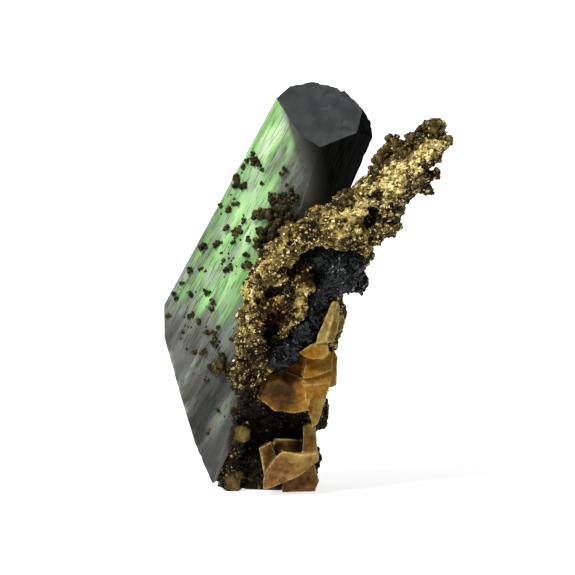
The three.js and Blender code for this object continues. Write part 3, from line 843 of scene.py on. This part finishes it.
# The drusy rock: a rough body, then thousands of small crystals over it
rockShape = {
    "voxel": 0.15,
    "relief": 0.4,
    "reliefSize": 2.0,
    "ledges": ((0.5, 1.25), (0.26, 0.5)),  # height and size of the broken facets, broad and small
    "grains": 31500,
    "grainSize": (0.065, 0.2),
    "flakes": 0.7,  # the share of the grains that are thin
    "grainKinds": (-0.6, -0.06, 0.38),  # dark, brown and pale ones
    "kindShares": (0.28, 0.34, 0.38),
    "bandSplit": 14.0,  # the crust below and above this height are two pieces
    "spur": ((2.0, 26.2), (13.6, 36.4)),  # x and height of its middle line, low and high
    "bodyShade": 0.42,  # the body under the grains is darker, dark brown with painted shade between them, and varies by its facets
    "bodyFacets": 0.55,
    "clearGap": 0.05,  # grains and blades keep this far out of the prism
    "grounded": (0.05, 0.5),  # the relief fades towards the floor
}

# Places on the crust as seen from the front, in mm: x, height and radius
crustPlaces = {
    "frontOnly": -2.0,
    "rust": [(-3.5, 17.7, 1.7), (0.1, 21.6, 1.5)],
    "bare": [(-6.95, 0.55, 1.15), (-6.5, 5.5, 0.85)],
    "holes": [(6.95, 29.4, 0.55), (6.4, 27.8, 0.42), (-3.8, 15.9, 0.8), (-3.5, 14.9, 0.8),
              (12.1, 35.4, 0.4)],
    "holeDepth": 0.9,
}

# How pale the crust is: a golden band along the spur, brown edges, a dark foot that is dark-brown crust
# with painted shade of the low hollow, and painted shade in the holes
crustTones = {
    "open": 0.63,
    "spur": -0.22,
    "band": 0.5,
    "bandOffset": 0.5,  # the band lies this far to the lower right of the spur's middle line
    "bandWidth": 1.55,
    "tip": 0.15,
    "tipAlong": (11.0, 14.0),
    "low": 0.39,
    "lowBelow": (10.0, 19.8),
    # the foot: dark-brown crust with painted shade of the low hollow
    "foot": 0.2,
    "footBelow": (7.0, 9.5),
    "patches": 0.42,
    # painted shade in the holes
    "holes": 0.8,
    "rust": 0.12,
}


def nearPlaces(points, kind):
    seen = np.stack([points[:, 0], points[:, 2] + sightSlope * points[:, 1]], axis=1)
    share = np.zeros(len(points))
    for x, height, radius in crustPlaces[kind]:
        away = norm(seen - [x, height], axis=1) / radius
        share = np.maximum(share, 1 - smoothStep(away, 0.75, 1.25))
    return share * (points[:, 1] < crustPlaces["frontOnly"])


rockFinish = {
    "mottle": {"Patch": 0.9, "Grain": 0.12, "Low": 0.3, "High": 0.7},
    "tone": 0.8,
    "patches": 0.25,
    "bump": (0.6, 0.05),
    "stops": [(0.0, (0.003, 0.002, 0.001)), (0.35, (0.018, 0.011, 0.003)), (0.52, (0.11, 0.070, 0.016)),
              (0.72, (0.42, 0.32, 0.097)), (1.0, (0.93, 0.81, 0.38))],
    "rust": (0.66, 0.46, 0.23, 1),
    "bare": ((0.045, 0.024, 0.005, 1), (0.14, 0.092, 0.022, 1)),
}


def rockMaterial(name, roughness, gloss):
    return mineralMaterial(name, {"Roughness": roughness, "Specular IOR Level": gloss}, rockFinish)


def spurLine():
    start, end = np.array(rockShape["spur"])
    return start, (end - start) / norm(end - start)


# How far a point lies beside the spur's middle line, to its upper left, and along it
def spurPlace(points):
    start, line = spurLine()
    place = points[:, [0, 2]] - start
    return place @ np.array([-line[1], line[0]]), place @ line


def crustTone(points):
    tones = crustTones
    side, along = spurPlace(points)
    band = tones["band"] * fallOff(side + tones["bandOffset"], tones["bandWidth"])
    tone = tones["open"] + smoothStep(along, 0.5, 3.5) * (band + tones["spur"])
    tone -= tones["tip"] * smoothStep(along, *tones["tipAlong"])
    tone -= tones["low"] * (1 - smoothStep(points[:, 2], *tones["lowBelow"]))
    tone -= tones["foot"] * (1 - smoothStep(points[:, 2], *tones["footBelow"]))
    tone += tones["patches"] * roughNoise(points, 2.0, 31, 2)
    return tone - tones["holes"] * nearPlaces(points, "holes") - tones["rust"] * nearPlaces(points, "rust")


# Painted shade: places that are shut in are darker than the open crust
def occlusionShade(hidden):
    return 0.25 * hidden + 0.5 * smoothStep(hidden, 0.25, 0.6)


# How far each point is shut in: the share of its rays that soon meet the same piece
def shutIn(node, points, rays=14, reach=3.0):
    coarse, faces = fineGrid(node, 0.5)
    tree = BVHTree.FromPolygons(coarse.tolist(), faces.tolist())
    random = np.random.default_rng(3)
    ways = random.normal(size=(rays, 3))
    ways /= norm(ways, axis=1)[:, None]
    hidden = np.zeros(len(coarse))
    for k, (point, normal) in enumerate(zip(coarse, pointNormals(coarse, faces))):
        start = Vector(point + normal * 0.15)
        for way in ways:
            outward = way if way @ normal > 0 else -way
            if tree.ray_cast(start, Vector(outward), reach)[0] is not None:
                hidden[k] += 1 / rays
    finder = KDTree(len(coarse))
    for k, point in enumerate(coarse):
        finder.insert(point, k)
    finder.balance()
    return hidden[[finder.find(point)[1] for point in points]]

def dressRock(planes):
    random = np.random.default_rng(7)
    points, faces = fineGrid("drusy_matrix", rockShape["voxel"])
    bare = nearPlaces(points, "bare")
    lift = rockShape["relief"] * roughNoise(points, rockShape["reliefSize"], 41, 3)
    for seed, (height, size) in enumerate(rockShape["ledges"]):
        ledges, level = facetNoise(points, size, 43 + 10 * seed)
        lift += height * ledges
    lift = lift * (1 - 0.8 * bare) - crustPlaces["holeDepth"] * nearPlaces(points, "holes")
    lift *= smoothStep(points[:, 2], *rockShape["grounded"])
    points = points + pointNormals(points, faces) * lift[:, None]
    hidden = shutIn("drusy_matrix", points)
    tone = crustTone(points) - rockShape["bodyShade"] + rockShape["bodyFacets"] * level
    # Painted shade where the body is shut in
    tone = np.clip(tone - occlusionShade(hidden), 0, 1)
    marks = {"tone": tone, "rust": nearPlaces(points, "rust"), "bare": bare}
    makePiece("matrix_body", points, faces, [rockMaterial("rockBody", 0.7, 0.12)], "drusy_matrix",
              marks, smooth=False)
    spots, ways = scatter(points, faces, rockShape["grains"], random)
    clear = overPrism(spots, planes)[0] > rockShape["clearGap"]
    clear &= (spots[:, 2] > 0.3) & (nearPlaces(spots, "bare") < 0.3)
    dressGrains(spots[clear], ways[clear], random)
    dressKnobs(points, faces, random)


# Rhombs and thin flakes that stand on the rock, drawn out along the spur
def dressGrains(spots, ways, random):
    count = len(spots)
    along = spurPlace(spots)[1]
    onSpur = smoothStep(along, 2.0, 5.0)
    line = spurLine()[1]
    grown = ways * (1 - onSpur)[:, None] + np.array([line[0], 0, line[1]]) * onSpur[:, None] * 1.6
    axes = axesAlong(grown + random.normal(size=ways.shape) * 0.7, random)
    size = random.uniform(*rockShape["grainSize"], count) * random.uniform(0.6, 1.5, count)
    isFlake = random.uniform(size=count) < rockShape["flakes"]
    thick = np.where(isFlake, random.uniform(0.12, 0.3, count), random.uniform(0.5, 0.8, count))
    sizes = np.stack([size * thick, size * random.uniform(0.5, 1, count),
                      size * random.uniform(0.8, 1.5, count) * (1 + 0.5 * onSpur)], axis=1)
    kind = random.choice(rockShape["grainKinds"], count, p=rockShape["kindShares"])
    hidden = shutIn("drusy_matrix", spots)
    # The grains' tone, with painted shade where they are shut in
    tone = np.clip(crustTone(spots) - occlusionShade(hidden) + kind + random.normal(0, 0.07, count), 0, 1)
    allMarks = {"tone": tone, "rust": nearPlaces(spots, "rust")}
    template, templateFaces = rhombTemplate()
    material = rockMaterial("rockGrains", 0.34, 0.3)
    isSpur, isHigh = along > 0, spots[:, 2] > rockShape["bandSplit"]
    bands = {"spur_grains": isSpur, "matrix_grains": isHigh & ~isSpur, "foot_grains": ~isHigh & ~isSpur}
    for name, chosen in bands.items():
        points, faces = joinForms(template, templateFaces, spots[chosen], axes[chosen], sizes[chosen])
        marks = {mark: np.repeat(values[chosen], len(template)) for mark, values in allMarks.items()}
        makePiece(name, points, faces, [material], "drusy_matrix", marks, smooth=False)


# Brown rounded knobs along the spur's upper left side
knobShape = {
    "stops": [(0.0, (0.009, 0.005, 0.002)), (0.4, (0.032, 0.020, 0.004)), (0.75, (0.09, 0.062, 0.012)),
              (1.0, (0.21, 0.145, 0.03))],
    "count": 140,
    "radius": (0.25, 0.62),
    "fromSide": 1.0,  # how far out from the spur's middle line the knobs start
    "fromAlong": 3.2,
    "sunk": 0.35,
    "core": 0.8,
    "lumps": 3,
    "lumpSize": (0.5, 0.75),
    "spread": 0.6,
    "flat": 0.9,
    "rough": 0.09,
}


def dressKnobs(points, faces, random):
    middles, radii = ballsOf("drusy_matrix")
    spots, ways = scatter(points, faces, 6000, random)
    side, along = spurPlace(spots)
    onEdge = (side > knobShape["fromSide"]) & (along > knobShape["fromAlong"])
    spots, ways = spots[onEdge][:knobShape["count"]], ways[onEdge][:knobShape["count"]]
    sizes = random.uniform(*knobShape["radius"], len(spots))
    spots = spots - ways * (sizes * knobShape["sunk"])[:, None]
    middles, radii = np.concatenate([middles, spots]), np.concatenate([radii, sizes])
    knobPoints, knobFaces, tone = clumps(middles, radii, random, knobShape)
    material = beadMaterial("knobSiderite", knobShape["stops"])
    makePiece("spur_knobs", knobPoints, knobFaces, [material], "drusy_matrix", {"tone": tone})


# Siderite cleavage blocks
blockShape = {
    "voxel": 0.1,
    "steps": 0.08,
    "stepSize": 1.1,
    "waves": 0.07,
    "waveSize": 0.9,
    "rim": 0.1,  # half the width of the pale line along an edge
    "rimColor": (0.50, 0.38, 0.16, 1),
    "glow": 0.9,  # how far painted light seeps in from an edge
    "shortestEdge": 0.7,
    "sharpEdge": math.radians(32),
}

# The blocks have painted shade at their left, in the rock, and painted light at their right and near their
# edges, where light gets in. They have a second colour above one height, and below another towards the
# right.
blockLooks = {
    "upper_cleavage_blocks": {
        "node": "siderite_blocks_upper", "material": "amberSiderite", "seed": 51,
        "stops": [(0.0, (0.010, 0.004, 0.001)), (0.25, (0.032, 0.014, 0.002)), (0.45, (0.095, 0.04, 0.003)),
                  (0.62, (0.22, 0.095, 0.008)), (0.8, (0.26, 0.155, 0.035)), (1.0, (0.42, 0.31, 0.11))],
        "across": (-2.2, 1.2), "dark": 0.07, "light": 0.38, "seepingLight": 0.22, "hollows": 0.15,
        "second": ((0.11, 0.072, 0.017, 1), (0.26, 0.2, 0.068, 1)),
        "above": (14.3, 15.6), "below": (-10.4, -8.8), "belowAcross": (-2.2, 1.2), "belowShare": 0.5,
    },
    "lower_cleavage_blocks": {
        "node": "siderite_blocks_lower", "material": "tanSiderite", "seed": 56,
        "stops": [(0.0, (0.010, 0.004, 0.001)), (0.3, (0.045, 0.02, 0.004)), (0.55, (0.13, 0.068, 0.014)),
                  (0.8, (0.25, 0.155, 0.04)), (1.0, (0.38, 0.27, 0.10))],
        "across": (-4.0, -1.0), "dark": 0.18, "light": 0.43, "seepingLight": 0.2, "hollows": 1.0,
        "second": ((0.07, 0.026, 0.009, 1), (0.21, 0.10, 0.038, 1)),
        "above": (98.0, 99.0), "below": (-4.4, -2.0), "belowAcross": (-5.0, -3.0), "belowShare": 0.7,
    },
}


def convexEdges(node):
    solid = weldedNode(node)
    solid.normal_update()
    edges = [(np.array(e.verts[0].co), np.array(e.verts[1].co)) for e in solid.edges
             if e.is_manifold and e.calc_length() > blockShape["shortestEdge"]
             and e.calc_face_angle_signed(0) > blockShape["sharpEdge"]]
    solid.free()
    return edges


def sideriteMaterial(look):
    plain = {"Roughness": 0.5, "Specular IOR Level": 0.03}
    material, tree, shader = newMaterial(look["material"], plain)
    patchy = useGroup(tree, mottle, Patch=2.2, Grain=0.2, Low=0.3, High=0.7)
    fine = useGroup(tree, mottle, Patch=0.5, Grain=0.1, Low=0.3, High=0.7)
    share = mathNode(tree, "MULTIPLY_ADD", patchy.outputs["Patches"], 0.22, attributeOf(tree, "tone"))
    share = mathNode(tree, "MULTIPLY_ADD", fine.outputs["Patches"], 0.14, share)
    color = colorRamp(tree, share, look["stops"])
    second = mixColors(tree, fine.outputs["Patches"], *look["second"])
    color = mixColors(tree, attributeOf(tree, "second"), color, second)
    edge = mathNode(tree, "MULTIPLY", attributeOf(tree, "rim"),
                    mathNode(tree, "MULTIPLY", fine.outputs["Patches"], 0.85))
    color = mixColors(tree, edge, color, blockShape["rimColor"])
    finishSurface(tree, shader, color, fine.outputs["Relief"], 0.3, 0.04)
    return material


def dressBlocks(name, look):
    shape, node = blockShape, look["node"]
    points, faces = fineGrid(node, shape["voxel"])
    nearEdge = distanceToEdges(points, convexEdges(node))
    rim = fallOff(nearEdge, shape["rim"])
    # Painted light: lighter towards the right and near the edges
    tone = look["dark"] + (look["light"] - look["dark"]) * smoothStep(points[:, 0], *look["across"])
    tone += look["seepingLight"] * np.exp(-nearEdge / shape["glow"])
    field = softNoise(points * np.array([1, 1, 1.6]), shape["stepSize"], look["seed"]) * 5
    steps = (np.floor(field) + smoothStep(field % 1, 0.75, 1)) / 5
    lift = shape["steps"] * steps + shape["waves"] * roughNoise(points, shape["waveSize"], look["seed"] + 5)
    lift *= smoothStep(points[:, 2], *rockShape["grounded"]) * (1 - 0.5 * rim)
    points = points + pointNormals(points, faces) * lift[:, None]
    # Painted shade where the block is shut in
    tone -= look["hollows"] * shutIn(node, points)
    below = smoothStep(-points[:, 2], *look["below"]) * smoothStep(points[:, 0], *look["belowAcross"])
    second = 0.8 * smoothStep(points[:, 2], *look["above"]) + look["belowShare"] * below
    makePiece(name, points, faces, [sideriteMaterial(look)], node,
              {"rim": rim, "tone": tone, "second": second})


# The blue-black vivianite mass with its small blades
veinFinish = {
    "mottle": {"Patch": 0.8, "Grain": 0.1, "Low": 0.3, "High": 0.75},
    "tone": 0.6,
    "patches": 0.4,
    "bump": (0.6, 0.05),
    "stops": [(0.0, (0.002, 0.002, 0.002)), (0.55, (0.004, 0.005, 0.006)), (0.85, (0.012, 0.015, 0.021)),
              (1.0, (0.075, 0.085, 0.10))],
}
veinShape = {
    "voxel": 0.12,
    "relief": 0.3,
    "reliefSize": 1.3,
    "ledges": 0.35,
    "ledgeSize": 0.7,
    "blades": 1800,
    "bladeSize": (0.08, 0.26),
}


def dressVein(planes):
    random = np.random.default_rng(9)
    node = "dark_vivianite_vein"
    plain = {"Roughness": 0.26, "Specular IOR Level": 0.2, "Coat Weight": 0.06, "Coat Roughness": 0.12}
    material = mineralMaterial("darkVivianite", plain, veinFinish)
    points, faces = fineGrid(node, veinShape["voxel"])
    lift = veinShape["relief"] * roughNoise(points, veinShape["reliefSize"], 61)
    lift += veinShape["ledges"] * facetNoise(points, veinShape["ledgeSize"], 67)[0]
    points = points + pointNormals(points, faces) * lift[:, None]
    tone = np.clip(0.3 + 0.4 * roughNoise(points, 1.0, 63), 0, 1)
    makePiece("vein_body", points, faces, [material], node, {"tone": tone})
    spots, ways = scatter(points, faces, veinShape["blades"], random)
    clear = overPrism(spots, planes)[0] > rockShape["clearGap"]
    spots, ways = spots[clear], ways[clear]
    axes = axesAlong(ways * 0.5 + random.normal(size=ways.shape), random)
    size = random.uniform(*veinShape["bladeSize"], len(spots))
    spots = spots - ways * (size * 0.35)[:, None]
    sizes = np.stack([size * 0.6, size * 0.6, size], axis=1)
    template, templateFaces = bladeTemplate()
    points, faces = joinForms(template, templateFaces, spots, axes, sizes)
    tone = np.repeat(random.uniform(0, 1, len(spots)) ** 2, len(template))
    makePiece("vein_blades", points, faces, [material], node, {"tone": tone},
              smooth=False)


print("stage: crystal")
planes = prismPlanes()
dressCrystal(planes)
dressBeads(planes)
print("stage: rock")
dressRock(planes)
print("stage: siderite")
for name, look in blockLooks.items():
    dressBlocks(name, look)
print("stage: dark vivianite")
dressVein(planes)

# Studio: a pale floor, a surround that is brighter behind and to the left, and one soft light
studio = {
    "floorHalf": 2.0,
    "floorColor": (0.6, 0.6, 0.6, 1),
    "floorGlow": 1.3,
    "surround": 0.5,
    "brightWay": (-0.6, 0.35, 0.3),
    "brightFrom": (-0.35, 0.4),
    "brightness": (0.08, 1.0),
    "backdrop": 2.2,
    "keyPower": 4.2,
    "keyPlace": (-0.35, -0.4, 0.6),
    "keyTarget": (0, 0, 0.02),
    "keySoftness": math.radians(12),
}


def makeFloor():
    mesh = bpy.data.meshes.new("floor")
    half = studio["floorHalf"]
    corners = [(-half, -half, 0), (half, -half, 0), (half, half, 0), (-half, half, 0)]
    mesh.from_pydata(corners, [], [(0, 1, 2, 3)])
    plain = {"Roughness": 0.8, "Specular IOR Level": 0.1, "Base Color": studio["floorColor"],
             "Emission Color": studio["floorColor"], "Emission Strength": studio["floorGlow"]}
    mesh.materials.append(newMaterial("paleFloor", plain)[0])
    addObject("floor", mesh)


def makeSurround():
    world = bpy.data.worlds.new("surround")
    bpy.context.scene.world = world
    world.use_nodes = True
    tree = world.node_tree
    back = tree.nodes["Background"]
    back.inputs["Strength"].default_value = studio["surround"]
    place = addNode(tree, "TexCoord").outputs["Generated"]
    split = addNode(tree, "SeparateXYZ", _0=place)
    side = 0.0
    for way, share in zip("YXZ", (studio["brightWay"][k] for k in (1, 0, 2))):
        side = mathNode(tree, "MULTIPLY_ADD", split.outputs[way], share, side)
    bright = smoothMask(tree, side, *studio["brightFrom"], *studio["brightness"])
    seen = addNode(tree, "LightPath").outputs["Is Camera Ray"]
    level = addNode(tree, "Mix", {"data_type": "FLOAT"}, _0=seen, _2=bright,
                    _3=studio["backdrop"]).outputs[0]
    shade = addNode(tree, "CombineColor", _0=level, _1=level, _2=level).outputs[0]
    tree.links.new(shade, back.inputs["Color"])


def makeKeyLight():
    light = bpy.data.lights.new("key", "SUN")
    light.energy = studio["keyPower"]
    light.angle = studio["keySoftness"]
    lamp = addObject("key", light)
    lamp.location = studio["keyPlace"]
    towards = Vector(studio["keyTarget"]) - Vector(studio["keyPlace"])
    lamp.rotation_euler = towards.to_track_quat("-Z", "Y").to_euler()


view = {
    "target": (crystalFoot + [1.25, 0.45, -18.79]) * mm,
    "distance": 1.2,
    "elevation": math.radians(5),
    "seenWidth": 0.0575,  # the width of the picture at the object
}


def makeCamera():
    lens = bpy.data.cameras.new("camera")
    lens.sensor_width = 36
    lens.lens = lens.sensor_width * view["distance"] / view["seenWidth"]
    lens.clip_start = 0.1
    lens.clip_end = 10
    camera = addObject("camera", lens)
    back = Vector((0, -math.cos(view["elevation"]), math.sin(view["elevation"])))
    camera.location = Vector(view["target"]) + back * view["distance"]
    camera.rotation_euler = (-back).to_track_quat("-Z", "Y").to_euler()
    bpy.context.scene.camera = camera


print("stage: studio")
makeFloor()
makeSurround()
makeKeyLight()
makeCamera()
bpy.context.scene.view_settings.view_transform = "Standard"
